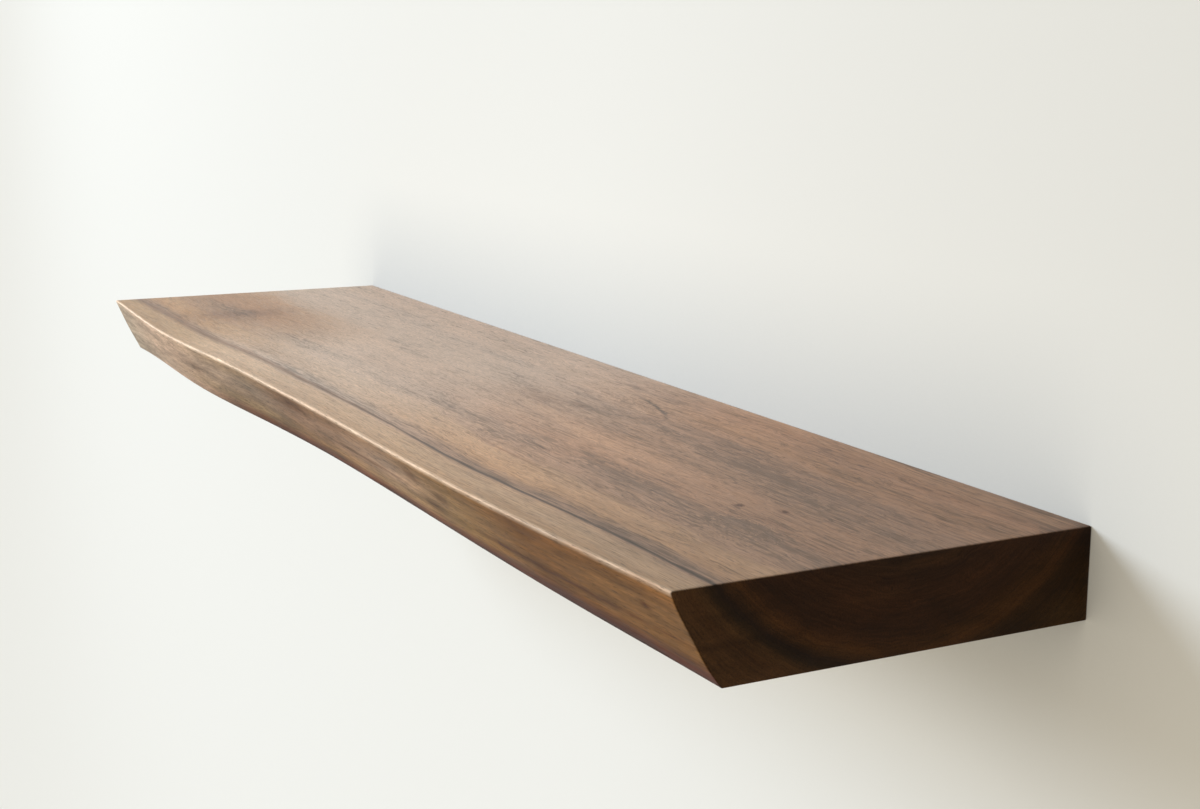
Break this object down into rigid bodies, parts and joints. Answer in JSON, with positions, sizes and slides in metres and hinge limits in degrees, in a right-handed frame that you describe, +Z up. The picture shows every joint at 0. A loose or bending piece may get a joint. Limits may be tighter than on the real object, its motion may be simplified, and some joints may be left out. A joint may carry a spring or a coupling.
{
  "type": "floating wall shelf",
  "caption": "Solid timber wall shelf with a sloping live front edge, carried on a hidden steel bar with rods and locked from below.",
  "frame": {"origin": "centre of the steel bar's rear face, on the wall plane, half way along the board and half way up its thickness", "axes": "+X along the wall to the right of someone facing the shelf, +Y into the wall, +Z up; the board stands out towards -Y"},
  "size_m": [1.1, 0.3309, 0.05],
  "materials": {
    "walnut": "oiled satin, with a pale sapwood strip along the live edge",
    "bracket_steel": "black powder coat",
    "zinc_steel": "zinc plated",
    "brass": "turned",
    "black_oxide_steel": "black oxide, oiled"
  },
  "bodies": {
    "bracket": {"back_bar": "bracket_steel", "rod_1": "bracket_steel", "rod_2": "bracket_steel", "rod_3": "bracket_steel", "rod_4": "bracket_steel", "rod_5": "bracket_steel", "rod_6": "bracket_steel", "weld_beads": "bracket_steel", "wall_screws": "zinc_steel"},
    "board": {"slab": "walnut", "insert_left": "brass", "insert_right": "brass"},
    "lock_left": {"lock_screw_left": "black_oxide_steel"},
    "lock_right": {"lock_screw_right": "black_oxide_steel"}
  },
  "joints": [
    {"name": "board_slide", "type": "slide", "parent": "bracket", "child": "board", "axis": [0, -1, 0], "range_m": [0, 0.17]},
    {"name": "lock_left_travel", "type": "slide", "parent": "board", "child": "lock_left", "axis": [0, 0, -1], "range_m": [0, 0.006]},
    {"name": "lock_right_travel", "type": "slide", "parent": "board", "child": "lock_right", "axis": [0, 0, -1], "range_m": [0, 0.006]}
  ]
}
